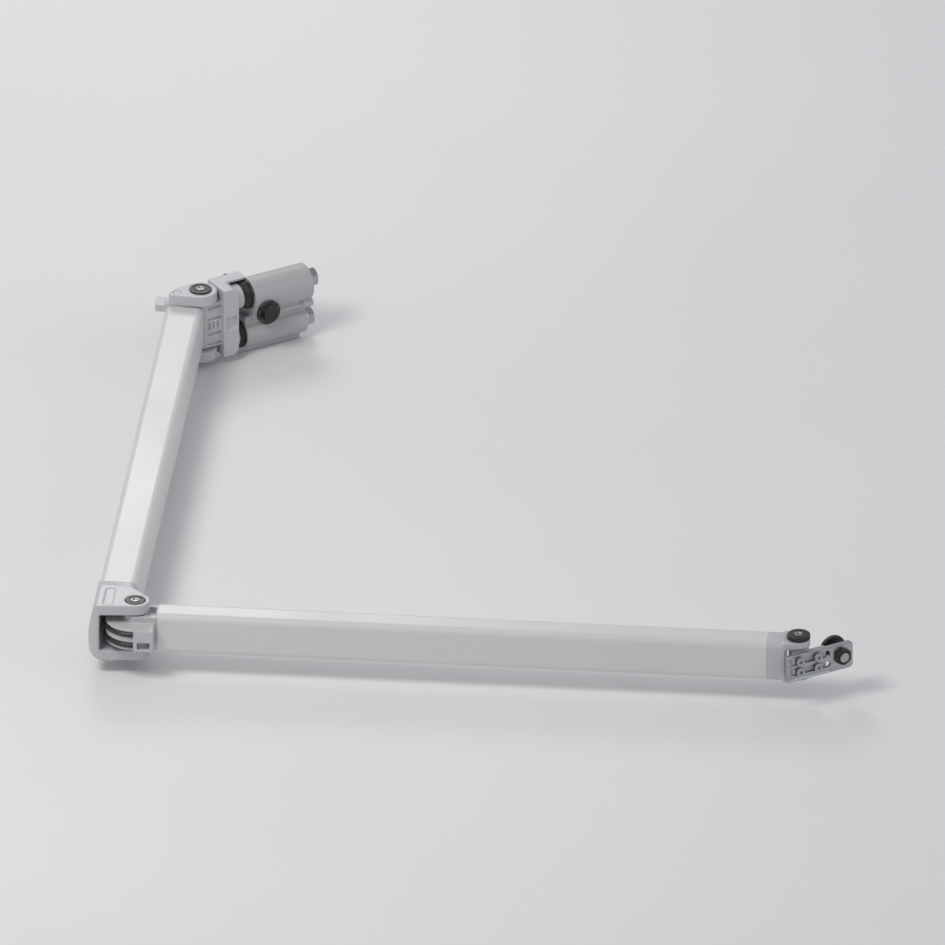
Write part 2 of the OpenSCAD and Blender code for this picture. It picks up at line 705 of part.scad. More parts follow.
module wrist_eye() color("lightgray") at_wrist() difference() {
    union() {
        rod(eye_r - 0.5, -eye_h / 2, eye_h / 2);
        block(-14, 30, plate_back, plate_back + 7.5, -eye_h / 2, plate_z + 15);
        block(-9, 9, plate_back + 1, 0, -eye_h / 2, plate_z + 15);
    }
    rod(bush_r, -eye_h, eye_h);
    screw_places() rotate([-90, 0, 0]) cylinder(r = screw_r, h = 6);
}

module wrist_bushes() color("dimgray") at_wrist() bush_pair(eye_h / 2, 10);

module screw_places()
    for (x = screw_x, z = slot_rows) translate([x, plate_back, z]) children();

module front_plate() color("silver") at_wrist() difference() {
    right = plate_left + plate_len;
    low = plate_z - plate_h / 2;
    top = plate_z + plate_h / 2;
    along_y(plate_front, plate_back) belt([
        [plate_left + 2, low + 2, 2], [right - 6, low + 6, 6],
        [right - 6, top - 6, 6], [plate_left + 2, top - 2, 2]
    ]);
    along_y(plate_front - cut, plate_back + cut)
        for (z = slot_rows) belt([[-16, z, slot_r], [29, z, slot_r]]);
    along_y(plate_front - cut, plate_front + panel_depth) belt([
        [-19, low + 5, 3], [32, low + 5, 3], [32, top - 5, 3], [-19, top - 5, 3]
    ]);
    along_y(plate_front - cut, plate_back + cut) translate([nut_x, nut_z])
        circle(r = rail_bolt_r + 0.2);
}

module plate_screws() color("silver") at_wrist() screw_places() rotate([90, 0, 0]) {
    seat = plate_t - panel_depth;
    difference() {
        union() {
            rod(screw_r, -5, seat);
            rod(screw_head_r, seat, seat + screw_head_t);
        }
        translate([0, 0, seat + screw_head_t - 1.8]) cylinder(d = 4.6, h = 3, $fn = 6);
    }
}

module at_rail_bolt() at_wrist() translate([nut_x, plate_back, nut_z]) rotate([-90, 0, 0]) children();

module rail_bolt() color("silver") at_rail_bolt() {
    rod(rail_bolt_r, -plate_t - nut_t - 1.5, rail_gap + rail_head_t);
    difference() {
        rod(rail_bolt_r + 4, rail_gap + rail_head_t, rail_gap + rail_head_t + 4);
        translate([0, 0, rail_gap + rail_head_t + 2]) cylinder(d = 9, h = 3, $fn = 6);
    }
}

module rail_disc() color("dimgray") at_rail_bolt() difference() {
    union() {
        rod(rail_bolt_r + 2.5, 0, rail_gap + 1);
        rod(rail_head_r, rail_gap, rail_gap + rail_head_t - 1.5);
        translate([0, 0, rail_gap + rail_head_t - 1.5])
            cylinder(r1 = rail_head_r, r2 = rail_head_r - 3, h = 1.5);
    }
    rod(rail_bolt_r + 0.2, -cut, rail_gap + rail_head_t + cut);
}

module rail_nut() color("silver") at_wrist() translate([nut_x, plate_front, nut_z])
    rotate([90, 0, 0]) difference() {
        intersection() {
            cylinder(d = nut_af / cos(30), h = nut_t, $fn = 6);
            cylinder(r1 = nut_af * 0.7, r2 = nut_af * 0.53, h = nut_t);
        }
        rod(rail_bolt_r, -cut, nut_t + cut);
    }

wall_bracket();
upper_spacer();
lower_spacer();
shoulder_block();
block_bolts();
block_bolt_washers();
mounting_bolt();
mounting_washer();
shoulder_bushes();
shoulder_fork();
shoulder_pin();
shoulder_pin_clip();
upper_tube();
upper_rivets();
anchor_plate();
tension_rod();
rod_nut();
tension_spring();
cable_yoke();
cable_runs();
elbow_fork();
elbow_pin();
elbow_pin_clip();
elbow_knuckle();
elbow_bushes();
drum_cables();
fore_tube();
fore_rivets();
wrist_fork();
wrist_pin();
wrist_pin_clip();
wrist_eye();
wrist_bushes();
front_plate();
plate_screws();
rail_bolt();
rail_disc();
rail_nut();
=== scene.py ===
# %% [markdown]
# # A folding gate arm
# The engineering model arrives as a fixed frame: every bolt, tube and pin is already in its place.
# This lesson dresses it. Castings get soft edges, the cables get strands, the bolts get threads,
# and each surface gets a finish made of nodes, so that it holds up from any side.

# %% Load the frame
import json
import math

import bpy
from mathutils import Matrix, Vector


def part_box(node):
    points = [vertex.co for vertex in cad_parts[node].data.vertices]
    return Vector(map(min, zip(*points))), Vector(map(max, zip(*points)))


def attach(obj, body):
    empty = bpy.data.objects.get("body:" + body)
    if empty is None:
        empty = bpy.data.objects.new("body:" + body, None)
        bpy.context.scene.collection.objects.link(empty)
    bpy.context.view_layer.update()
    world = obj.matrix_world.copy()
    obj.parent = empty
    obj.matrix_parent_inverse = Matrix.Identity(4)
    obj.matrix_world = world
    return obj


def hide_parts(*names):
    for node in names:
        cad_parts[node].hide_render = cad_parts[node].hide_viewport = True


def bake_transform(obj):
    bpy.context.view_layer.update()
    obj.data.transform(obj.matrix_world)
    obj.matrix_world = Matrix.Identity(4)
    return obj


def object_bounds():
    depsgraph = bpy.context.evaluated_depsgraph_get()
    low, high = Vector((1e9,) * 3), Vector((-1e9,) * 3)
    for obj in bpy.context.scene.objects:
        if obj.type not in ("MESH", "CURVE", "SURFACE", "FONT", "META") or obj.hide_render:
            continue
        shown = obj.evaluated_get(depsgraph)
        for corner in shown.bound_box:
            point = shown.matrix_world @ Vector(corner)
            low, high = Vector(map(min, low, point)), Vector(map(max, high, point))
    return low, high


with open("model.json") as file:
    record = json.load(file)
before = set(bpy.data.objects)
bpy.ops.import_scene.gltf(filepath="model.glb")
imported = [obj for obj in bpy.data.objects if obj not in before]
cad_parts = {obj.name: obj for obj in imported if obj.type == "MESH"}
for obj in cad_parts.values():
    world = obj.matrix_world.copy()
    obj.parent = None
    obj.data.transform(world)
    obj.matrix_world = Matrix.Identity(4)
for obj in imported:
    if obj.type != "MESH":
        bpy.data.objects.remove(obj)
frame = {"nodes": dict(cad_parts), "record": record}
cad_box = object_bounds()
print("box of the model, in metres:", [[round(x, 3) for x in corner] for corner in cad_box])

# %% [markdown]
# ## Where the pivots are
# The joints in the frame say where each pin stands. Everything else is placed from them, so the
# pieces keep fitting if the arm's sizes change.

# %% Pivots and directions
record = frame["record"]
joints = {j["name"]: j for j in record["behaviour"]["joints"]}
shoulder = Vector(joints["shoulder_hinge"]["pos_m"])
elbow = Vector(joints["elbow_hinge"]["pos_m"])
wrist = Vector(joints["wrist_hinge"]["pos_m"])
upper_axis = Vector(joints["yoke_slide"]["axis"]).normalized()
fore_low, fore_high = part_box("fore_tube")
fore_axis = Vector((fore_high.x - fore_low.x, fore_low.y - fore_high.y, 0)).normalized()
up = Vector((0, 0, 1))
mm = 0.001
print("arms, pin to pin:", round((elbow - shoulder).length, 3), round((wrist - elbow).length, 3))

# %% [markdown]
# ## Camera
# A parts drawing is usually made with parallel lines that never meet, so an orthographic camera is
# the honest choice. It looks down at the arm from the front and a little from the left.

# %% Camera
azimuth, elevation = math.radians(-30), math.radians(27)
back = Vector((math.sin(azimuth) * math.cos(elevation), -math.cos(azimuth) * math.cos(elevation),
               math.sin(elevation)))
right = up.cross(back).normalized()
top = back.cross(right)
aim = shoulder + 0.3264 * right - 0.1795 * top
camera_data = bpy.data.cameras.new("camera")
camera_data.type = "ORTHO"
camera_data.ortho_scale = 1.134
camera_data.clip_end = 20
camera = bpy.data.objects.new("camera", camera_data)
camera.matrix_world = Matrix.Translation(aim + 3 * back) @ Matrix((right, top, back)).transposed().to_4x4()
bpy.context.scene.collection.objects.link(camera)
bpy.context.scene.camera = camera
print("camera looks from", [round(x, 2) for x in back])

# %% [markdown]
# ## Floor and light
# A pale floor that curves up into a wall has no horizon. One large lamp from the back left makes the
# shapes read, a weaker one opens the shadows, and a soft grey sky does the rest.

# %% Floor
def link(obj):
    bpy.context.scene.collection.objects.link(obj)
    return obj


def mesh_object(name, verts, faces):
    mesh = bpy.data.meshes.new(name)
    mesh.from_pydata([tuple(v) for v in verts], [], faces)
    mesh.update()
    return link(bpy.data.objects.new(name, mesh))


floor_z = cad_box[0][2] - 0.001
half = 6
profile = [(-half, 0.0)] + [(3 + math.sin(a) * 1.5, 1.5 - math.cos(a) * 1.5)
                            for a in (math.radians(d) for d in range(0, 91, 9))] + [(4.5, 5.0)]
verts = [(x, y, floor_z + z) for y, z in profile for x in (-half, half)]
floor = mesh_object("floor", verts, [(2 * i, 2 * i + 1, 2 * i + 3, 2 * i + 2)
                                     for i in range(len(profile) - 1)])
floor.data.polygons.foreach_set("use_smooth", [True] * len(floor.data.polygons))
print("floor at", round(floor_z, 4))

# %% Lights
def area_light(name, place, size, power, colour):
    data = bpy.data.lights.new(name, "AREA")
    data.shape, data.size, data.energy, data.color = "DISK", size, power, colour
    lamp = link(bpy.data.objects.new(name, data))
    lamp.location = place
    lamp.rotation_euler = (aim - Vector(place)).to_track_quat("-Z", "Y").to_euler()
    return lamp


area_light("key_light", (-1.9, -0.9, 2.3), 1.1, 30, (1.0, 0.985, 0.96))
area_light("fill_light", (1.8, -2.6, 1.5), 2.0, 9, (0.95, 0.98, 1.0))
area_light("rim_light", (0.6, 1.6, 1.6), 1.0, 14, (1.0, 1.0, 1.0))
world = bpy.data.worlds.new("studio")
world.use_nodes = True
world.node_tree.nodes["Background"].inputs["Color"].default_value = (0.93, 0.95, 1.0, 1)
world.node_tree.nodes["Background"].inputs["Strength"].default_value = 0.42
bpy.context.scene.world = world
bpy.context.scene.view_settings.view_transform = "Standard"
print("three lamps and a grey sky")

# %% [markdown]
# ## Finishes, part one: shared effects
# Real paint is never one flat colour. It has a fine orange-peel texture, rubs thin on edges, and
# gathers dust on top. Each of those effects is a node group with its own named sockets, built once
# and placed in every finish with different values.

# %% Node group helpers
def group(name, inputs, outputs):
    tree = bpy.data.node_groups.new(name, "ShaderNodeTree")
    for label, kind, value in inputs:
        socket = tree.interface.new_socket(label, in_out="INPUT", socket_type=kind)
        socket.default_value = value
    for label, kind in outputs:
        tree.interface.new_socket(label, in_out="OUTPUT", socket_type=kind)
    return tree, tree.nodes.new("NodeGroupInput"), tree.nodes.new("NodeGroupOutput")


def node(tree, kind, values=None, **settings):
    made = tree.nodes.new(kind)
    for key, value in settings.items():
        setattr(made, key, value)
    for key, value in (values or {}).items():
        if isinstance(value, bpy.types.NodeSocket):
            tree.links.new(value, made.inputs[key])
        else:
            made.inputs[key].default_value = value
    return made


def ramp(tree, value, low, high):
    made = node(tree, "ShaderNodeMapRange", {"Value": value, "From Min": low, "From Max": high})
    made.interpolation_type = "SMOOTHSTEP"
    return made.outputs["Result"]


def times(tree, a, b, operation="MULTIPLY"):
    return node(tree, "ShaderNodeMath", {0: a, 1: b}, operation=operation).outputs[0]


FLOAT, VECTOR = "NodeSocketFloat", "NodeSocketVector"

# %% Orange peel: the fine pebbled surface of powder coat
peel, given, out = group("orange_peel", [("Size", FLOAT, 900.0), ("Patches", FLOAT, 14.0)],
                         [("Height", FLOAT), ("Patch", FLOAT)])
spot = node(peel, "ShaderNodeTexCoord").outputs["Object"]
fine = node(peel, "ShaderNodeTexNoise", {"Vector": spot, "Scale": given.outputs["Size"], "Detail": 2.0})
wide = node(peel, "ShaderNodeTexNoise", {"Vector": spot, "Scale": given.outputs["Patches"], "Detail": 4.0})
peel.links.new(fine.outputs["Fac"], out.inputs["Height"])
peel.links.new(ramp(peel, wide.outputs["Fac"], 0.35, 0.65), out.inputs["Patch"])
print("orange_peel:", len(peel.nodes), "nodes")

# %% Edge wear: where the surface turns sharply outwards
wear, given, out = group("edge_wear", [("Amount", FLOAT, 0.5), ("Breakup", FLOAT, 60.0)],
                         [("Mask", FLOAT)])
edge = ramp(wear, node(wear, "ShaderNodeNewGeometry").outputs["Pointiness"], 0.53, 0.62)
spot = node(wear, "ShaderNodeTexCoord").outputs["Object"]
chips = node(wear, "ShaderNodeTexNoise",
             {"Vector": spot, "Scale": given.outputs["Breakup"], "Detail": 6.0, "Roughness": 0.7})
broken = times(wear, edge, ramp(wear, chips.outputs["Fac"], 0.45, 0.62))
wear.links.new(times(wear, broken, given.outputs["Amount"]), out.inputs["Mask"])
print("edge_wear:", len(wear.nodes), "nodes")

# %% Dust: lies on what faces up, in soft clouds
dust, given, out = group("dust", [("Amount", FLOAT, 0.3), ("Clouds", FLOAT, 22.0)], [("Mask", FLOAT)])
facing = node(dust, "ShaderNodeSeparateXYZ", {0: node(dust, "ShaderNodeNewGeometry").outputs["Normal"]})
spot = node(dust, "ShaderNodeTexCoord").outputs["Object"]
clouds = node(dust, "ShaderNodeTexNoise", {"Vector": spot, "Scale": given.outputs["Clouds"], "Detail": 5.0})
lying = times(dust, ramp(dust, facing.outputs["Z"], 0.2, 1.0), ramp(dust, clouds.outputs["Fac"], 0.4, 0.7))
dust.links.new(times(dust, lying, given.outputs["Amount"]), out.inputs["Mask"])
print("dust:", len(dust.nodes), "nodes")

# %% Lines: scratches and die marks that run one way
lines, given, out = group("fine_lines",
                          [("Stretch", VECTOR, (3.0, 900.0, 900.0)), ("Turn", VECTOR, (0.0, 0.0, 0.0))],
                          [("Height", FLOAT), ("Streak", FLOAT)])
spot = node(lines, "ShaderNodeTexCoord").outputs["Object"]
turned = node(lines, "ShaderNodeMapping", {"Vector": spot, "Rotation": given.outputs["Turn"]})
scaled = node(lines, "ShaderNodeVectorMath", {0: turned.outputs[0], 1: given.outputs["Stretch"]},
              operation="MULTIPLY")
marks = node(lines, "ShaderNodeTexNoise", {"Vector": scaled.outputs[0], "Scale": 1.0, "Detail": 3.0})
lines.links.new(marks.outputs["Fac"], out.inputs["Height"])
lines.links.new(ramp(lines, marks.outputs["Fac"], 0.35, 0.7), out.inputs["Streak"])
print("fine_lines:", len(lines.nodes), "nodes")

# %% [markdown]
# ## Finishes, part two: the materials
# Every finish starts from one Principled shader. The shared effects change its colour and roughness
# from place to place, and a Bump node turns the small heights into shading.

# %% Building blocks for a finish
def place_group(tree, which, **values):
    made = tree.nodes.new("ShaderNodeGroup")
    made.node_tree = which
    for key, value in values.items():
        made.inputs[key].default_value = value
    return made


def mix(tree, mask, a, b):
    made = node(tree, "ShaderNodeMix", data_type="RGBA")
    for index, value in ((0, mask), (6, a), (7, b)):
        if isinstance(value, bpy.types.NodeSocket):
            tree.links.new(value, made.inputs[index])
        else:
            made.inputs[index].default_value = value
    return made.outputs[2]


def grey(value, tint=(1, 1, 1)):
    return (value * tint[0], value * tint[1], value * tint[2], 1)


def blank(name, **values):
    made = bpy.data.materials.new(name)
    made.use_nodes = True
    shader = made.node_tree.nodes["Principled BSDF"]
    for key, value in values.items():
        shader.inputs[key.replace("_", " ")].default_value = value
    return made, made.node_tree, shader


def bump(tree, shader, height, distance, strength=1.0):
    made = node(tree, "ShaderNodeBump", {"Height": height, "Distance": distance, "Strength": strength})
    tree.links.new(made.outputs["Normal"], shader.inputs["Normal"])

# %% Powder coat, for castings, bracket and tubes
def powder_coat(name, base, worn, rough, peel_size, wear_amount, die_lines=None):
    made, tree, shader = blank(name, Coat_Weight=0.25, Coat_Roughness=0.28)
    skin = place_group(tree, peel, Size=peel_size, Patches=5.0)
    rubbed = place_group(tree, wear, Amount=wear_amount, Breakup=70.0)
    settled = place_group(tree, dust, Amount=0.12, Clouds=9.0)
    tone = mix(tree, skin.outputs["Patch"], base, tuple(c * 0.975 for c in base[:3]) + (1,))
    tone = mix(tree, rubbed.outputs["Mask"], tone, worn)
    tone = mix(tree, settled.outputs["Mask"], tone, grey(0.62, (1.0, 0.97, 0.92)))
    tree.links.new(tone, shader.inputs["Base Color"])
    gloss = node(tree, "ShaderNodeMapRange", {"Value": skin.outputs["Patch"], "To Min": rough - 0.05,
                                              "To Max": rough + 0.07}).outputs["Result"]
    tree.links.new(times(tree, gloss, times(tree, settled.outputs["Mask"], 0.25), "ADD"),
                   shader.inputs["Roughness"])
    height = skin.outputs["Height"]
    if die_lines:
        drawn = place_group(tree, lines, Stretch=(2.0, 420.0, 420.0), Turn=(0.0, 0.0, die_lines))
        height = times(tree, height, times(tree, drawn.outputs["Height"], 0.8), "ADD")
    bump(tree, shader, height, 0.00012)
    return made


finishes = {
    "bracket_casting": powder_coat("bracket_casting", grey(0.46, (0.985, 1, 1.02)),
                                   grey(0.34), 0.42, 620.0, 0.75),
    "casting": powder_coat("casting", grey(0.56, (0.985, 1, 1.02)), grey(0.40), 0.40, 560.0, 0.8),
}
upper_turn = -math.atan2(upper_axis.y, upper_axis.x)
fore_turn = -math.atan2(fore_axis.y, fore_axis.x)
tube_coats = {
    "upper_tube": powder_coat("upper_tube_coat", grey(0.72, (1, 1, 0.99)), grey(0.5), 0.36, 900.0, 0.0,
                              upper_turn),
    "fore_tube": powder_coat("fore_tube_coat", grey(0.72, (1, 1, 0.99)), grey(0.5), 0.36, 900.0, 0.0,
                             fore_turn),
}
print("powder coats:", sorted(finishes), sorted(tube_coats))

# %% Bare steel, with turned or brushed lines
def bare_steel(name, base, rough, stretch, metallic=1.0):
    made, tree, shader = blank(name, Metallic=metallic)
    brushed = place_group(tree, lines, Stretch=stretch)
    rubbed = place_group(tree, wear, Amount=0.7, Breakup=110.0)
    tone = mix(tree, brushed.outputs["Streak"], base, tuple(c * 0.78 for c in base[:3]) + (1,))
    tone = mix(tree, rubbed.outputs["Mask"], tone, grey(min(1.0, base[1] * 1.5)))
    tree.links.new(tone, shader.inputs["Base Color"])
    gloss = node(tree, "ShaderNodeMapRange", {"Value": brushed.outputs["Streak"], "To Min": rough,
                                              "To Max": rough + 0.14}).outputs["Result"]
    tree.links.new(gloss, shader.inputs["Roughness"])
    bump(tree, shader, brushed.outputs["Height"], 0.00006)
    return made


finishes["bolt_steel"] = bare_steel("bolt_steel", grey(0.46, (1, 1, 1.01)), 0.26, (700.0, 60.0, 700.0))
finishes["pin_steel"] = bare_steel("pin_steel", grey(0.38, (1, 1, 1.02)), 0.34, (300.0, 300.0, 300.0))
finishes["plate_metal"] = bare_steel("plate_metal", grey(0.50, (0.98, 1, 1.02)), 0.30, (8.0, 600.0, 600.0))
finishes["rivet_metal"] = bare_steel("rivet_metal", grey(0.62), 0.34, (500.0, 500.0, 500.0))
print("bare metals made")

# %% Dark finishes: blackened steel, moulded polymer and cable sheath
def dark(name, base, worn, rough, size, wear_amount, metallic=0.0, coat=0.0):
    made, tree, shader = blank(name, Metallic=metallic, Coat_Weight=coat)
    skin = place_group(tree, peel, Size=size, Patches=40.0)
    rubbed = place_group(tree, wear, Amount=wear_amount, Breakup=120.0)
    settled = place_group(tree, dust, Amount=0.16, Clouds=35.0)
    tone = mix(tree, skin.outputs["Patch"], base, tuple(c * 1.5 for c in base[:3]) + (1,))
    tone = mix(tree, rubbed.outputs["Mask"], tone, worn)
    tone = mix(tree, settled.outputs["Mask"], tone, grey(0.30, (1, 0.96, 0.9)))
    tree.links.new(tone, shader.inputs["Base Color"])
    gloss = node(tree, "ShaderNodeMapRange", {"Value": skin.outputs["Patch"], "To Min": rough - 0.08,
                                              "To Max": rough + 0.08}).outputs["Result"]
    tree.links.new(gloss, shader.inputs["Roughness"])
    bump(tree, shader, skin.outputs["Height"], 0.0001)
    return made


finishes["black_steel"] = dark("black_steel", grey(0.018), grey(0.16), 0.42, 500.0, 0.5, 0.2)
finishes["bush_plastic"] = dark("bush_plastic", grey(0.025), grey(0.07), 0.5, 800.0, 0.6)
finishes["cable_sheath"] = dark("cable_sheath", grey(0.018), grey(0.06), 0.34, 1200.0, 0.4, 0.0, 0.2)
print("finishes:", len(finishes) + len(tube_coats))

# %% Floor finish
floor_finish, tree, shader = blank("floor_finish", Roughness=0.75)
paper = place_group(tree, peel, Size=180.0, Patches=1.2)
tree.links.new(mix(tree, paper.outputs["Patch"], grey(0.86), grey(0.84)), shader.inputs["Base Color"])
bump(tree, shader, paper.outputs["Height"], 0.0002, 0.4)
floor.data.materials.append(floor_finish)

# %% [markdown]
# ## Dress the engineering parts
# Each part says which finish it takes. The parts themselves are never moved or reshaped: their
# material slots get the new finish.

# %% Give every part its finish
slot_of = {part["node"]: part["material_slot"] for part in record["subparts"]}


def dress(obj, finish):
    obj.data.materials.clear()
    obj.data.materials.append(finish)


for name, obj in frame["nodes"].items():
    dress(obj, tube_coats.get(name) or finishes[slot_of[name]])
print("dressed", len(frame["nodes"]), "parts")

# %% [markdown]
# ## Castings with soft edges
# A cast part has no knife edges: metal shrinks as it cools, and the mould has fillets so the part
# lets go of it. Modelling each fillet by hand would take days. Instead a copy of the part is wrapped
# in a fine even skin (a voxel remesh), then smoothed a little, which rounds every corner at once,
# inside and outside. Flat faces stay flat because smoothing has nothing to pull there.

# %% Soft casting helper
def applied(obj):
    """Bakes the object's modifiers into its mesh."""
    shown = obj.evaluated_get(bpy.context.evaluated_depsgraph_get())
    old, obj.data = obj.data, bpy.data.meshes.new_from_object(shown)
    obj.modifiers.clear()
    bpy.data.meshes.remove(old)
    return obj


def body_of_node(name):
    return next(b for b, names in record["behaviour"]["bodies"].items() if name in names)


def soft_casting(name, voxel, smoothing, keep):
    cast = link(bpy.data.objects.new(name + "_cast", frame["nodes"][name].data.copy()))
    skin = cast.modifiers.new("skin", "REMESH")
    skin.mode, skin.voxel_size, skin.use_smooth_shade = "VOXEL", voxel, True
    ease = cast.modifiers.new("ease", "SMOOTH")
    ease.factor, ease.iterations = 0.5, smoothing
    applied(cast)
    full = len(cast.data.polygons)
    thin = cast.modifiers.new("thin", "DECIMATE")
    thin.ratio = keep
    applied(cast)
    cast.data.polygons.foreach_set("use_smooth", [True] * len(cast.data.polygons))
    dress(cast, finishes[slot_of[name]])
    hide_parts(name)
    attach(cast, body_of_node(name))
    print(cast.name, "from", full, "to", len(cast.data.polygons), "faces")
    return cast

# %% Make the castings
for name in ("shoulder_block", "shoulder_fork", "elbow_fork", "elbow_knuckle", "wrist_fork",
             "wrist_eye", "wall_bracket"):
    soft_casting(name, 0.0008, 5, 0.35)
soft_casting("front_plate", 0.0006, 3, 0.35)

# %% [markdown]
# ## Cables
# Each cable is a bundle of wires in a thin black sheath, so its surface shows a slow spiral of
# strands. A tube of points is swept along the route, and each ring of points swells and dips eight
# times round. Turning that pattern a little from ring to ring makes the spiral. The part in the arm
# slides, and the part on the drum winds on as the elbow folds; here they are laid as two pieces, a
# straight run and a wrap round the drum.

# %% Cable sweep
def swept_cable(name, route, radius, wires=8, lay=0.045):
    """A stranded tube along a list of (point, forward) pairs."""
    sides = wires * 5
    verts, length, last = [], 0.0, route[0][0]
    for point, forward in route:
        length += (point - last).length
        last = point
        across = forward.cross(up).normalized()
        for i in range(sides):
            angle = 2 * math.pi * i / sides
            ridge = abs(math.sin(wires / 2 * (angle + 2 * math.pi * length / lay)))
            r = radius * (0.90 + 0.10 * ridge ** 0.6)
            verts.append(point + r * (math.cos(angle) * across + math.sin(angle) * up))
    rings = len(route)
    faces = [(a * sides + i, a * sides + (i + 1) % sides, (a + 1) * sides + (i + 1) % sides,
              (a + 1) * sides + i) for a in range(rings - 1) for i in range(sides)]
    faces += [tuple(range(sides))[::-1], tuple((rings - 1) * sides + i for i in range(sides))]
    cable = mesh_object(name, verts, faces)
    cable.data.polygons.foreach_set("use_smooth", [True] * len(cable.data.polygons))
    dress(cable, finishes["cable_sheath"])
    return cable

# %% Lay the cables
inner = Vector((-upper_axis.y, upper_axis.x, 0))
drum_low, drum_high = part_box("drum_cables")
cable_r = 3.25 * mm
cable_levels = [drum_low.z + cable_r, drum_high.z - cable_r]
drum_r = record["behaviour"]["couplings"][0]["ratio"]
run_length = 185 * mm
steps, wrap_steps, wrap_turn = 90, 60, 100
for level_name, level in zip(("lower", "upper"), cable_levels):
    hub = Vector((elbow.x, elbow.y, level))
    start = hub - drum_r * inner
    run = [(start - upper_axis * (run_length * (1 - t / steps) + 0.3 * mm), upper_axis)
           for t in range(steps + 1)]
    straight = swept_cable("cable_run_" + level_name, run, cable_r)
    wrap = []
    for t in range(wrap_steps + 1):
        a = math.radians(-90 + wrap_turn * t / wrap_steps)
        wrap.append((hub + drum_r * (math.cos(a) * upper_axis + math.sin(a) * inner),
                     math.cos(a) * inner - math.sin(a) * upper_axis))
    wound = swept_cable("cable_wrap_" + level_name, wrap, cable_r)
    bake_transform(straight)
    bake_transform(wound)
    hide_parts("cable_runs")
    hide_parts("drum_cables")
    print(level_name, "cable at z", round(level, 4))

# %% [markdown]
# ## Bolts, nuts and threads
# A hex head is a bar of six flats with its corners turned off in a lathe. So the head is built like
# lathe work: rings of points, each as far out as the flat allows or as far as the turning cone
# allows, whichever is less. A thread is the same trick with a ridge that climbs as it goes round.

# %% Turned parts
def turned_part(name, origin, axis, rings, body, slot, sides=96, smooth_angle=32):
    """rings is a list of functions from angle to radius, each with its place along the axis."""
    axis = Vector(axis).normalized()
    side = axis.orthogonal().normalized() if abs(axis.z) > 0.5 else up
    other = axis.cross(side)
    verts = []
    for along, radius in rings:
        for i in range(sides):
            angle = 2 * math.pi * i / sides
            r = radius(angle)
            outward = math.cos(angle) * side + math.sin(angle) * other
            verts.append(Vector(origin) + along * axis + r * outward)
    count = len(rings)
    faces = [(a * sides + i, a * sides + (i + 1) % sides, (a + 1) * sides + (i + 1) % sides,
              (a + 1) * sides + i) for a in range(count - 1) for i in range(sides)]
    faces += [tuple(range(sides))[::-1], tuple((count - 1) * sides + i for i in range(sides))]
    made = mesh_object(name, verts, faces)
    made.data.polygons.foreach_set("use_smooth", [True] * len(made.data.polygons))
    made.data.set_sharp_from_angle(angle=math.radians(smooth_angle))
    dress(made, finishes[slot])
    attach(made, body)
    return made


def flats(across):
    """The distance from the axis to a hexagon's side, as a function of the angle."""
    return lambda angle: across / 2 / math.cos((angle % (math.pi / 3)) - math.pi / 6)


def plain(radius):
    return lambda angle: radius


def cut_by(shape, radius):
    return lambda angle: min(shape(angle), radius)


def hex_rings(z0, z1, across, both=False):
    """A hex from z0 to z1: a lathe cuts its far corners down at 30 degrees, at one end or both."""
    hexagon, corner = flats(across), across / math.sqrt(3)
    cut = (corner - across / 2 * 0.97) / 5
    end = [(z1 - (5 - k) * cut * 0.6, cut_by(hexagon, corner - k * cut)) for k in range(6)]
    start = [(z0 + (5 - k) * cut * 0.6, cut_by(hexagon, corner - k * cut)) for k in range(5, -1, -1)]
    return (start if both else [(z0, hexagon)]) + end


def thread_rings(z0, z1, radius, pitch=0.00175, turns=8):
    """Rings for a screw thread: the ridge climbs one pitch for each turn and dies out at the ends."""
    count = max(4, int(abs(z1 - z0) / pitch * turns))

    def at(z, fade):
        return lambda angle: radius - fade * 0.001 * abs(2 * ((z / pitch - angle / math.tau) % 1) - 1)
    return [(z0 + (z1 - z0) * k / count, at(z0 + (z1 - z0) * k / count, min(1, k / 6, (count - k) / 6)))
            for k in range(count + 1)]


def rounded_rings(z0, z1, radius, ease=0.0008, steps=4):
    """A disc whose two rims are rounded off."""
    curve = [math.radians(90 * k / steps) for k in range(steps + 1)]
    rim = [(ease * (1 - math.cos(a)), plain(radius - ease * (1 - math.sin(a)))) for a in curve]
    return [(z0 + inset, at) for inset, at in rim] + [(z1 - inset, at) for inset, at in reversed(rim)]


def dimple(z, radius, depth):
    """Steps down into a shallow round hollow at the end of a turned part."""
    return [(z, plain(radius + 0.0004)), (z - 0.0003, plain(radius)), (z - depth, plain(radius * 0.86))]

# %% A hex bolt
def hex_bolt(name, cad, origin, axis, slot, thread, shank, head, across, dish=0.0):
    """thread is (from, to, radius), shank is (from, radius), and head is (from, thickness)."""
    tip = 1.2 * mm
    rings = [(thread[0], plain(thread[2] - tip))]
    rings += thread_rings(thread[0] + tip, thread[1], thread[2])
    rings += [(shank[0], plain(shank[1])), (head[0], plain(shank[1]))]
    rings += hex_rings(head[0] + 0.01 * mm, head[0] + head[1], across)
    if dish:
        rings += dimple(head[0] + head[1], dish, 1 * mm)
    made = turned_part(name, origin, axis, rings, "bracket", slot)
    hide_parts(cad)
    print(name, len(made.data.polygons), "faces")

